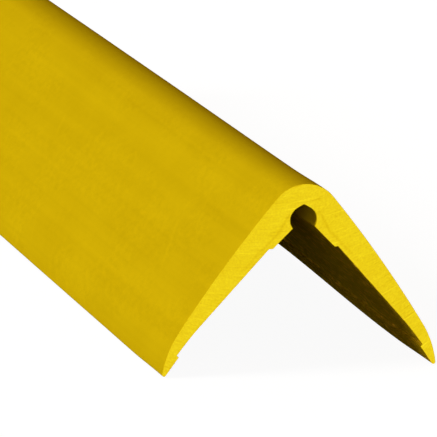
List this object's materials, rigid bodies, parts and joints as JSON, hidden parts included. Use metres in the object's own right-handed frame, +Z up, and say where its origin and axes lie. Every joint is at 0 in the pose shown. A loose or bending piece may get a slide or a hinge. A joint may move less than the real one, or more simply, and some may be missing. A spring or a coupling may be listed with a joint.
{
  "type": "corner guard",
  "caption": "Extruded rubber corner guard with a rounded crown, two tapering legs, a shallow tape recess inside each leg and a relief channel along the inner corner.",
  "frame": {"origin": "level that the guard lies on, below the middle of its length and width", "axes": "+Y along the length, from the sawn end that the picture shows; +Z up, from the two noses to the crown; +X across the two legs"},
  "size_m": [0.103, 0.5, 0.068],
  "materials": {
    "yellow_rubber": "satin extruded skin, finely sawn ends"
  },
  "bodies": {
    "root": {"corner_guard": "yellow_rubber"}
  },
  "joints": []
}
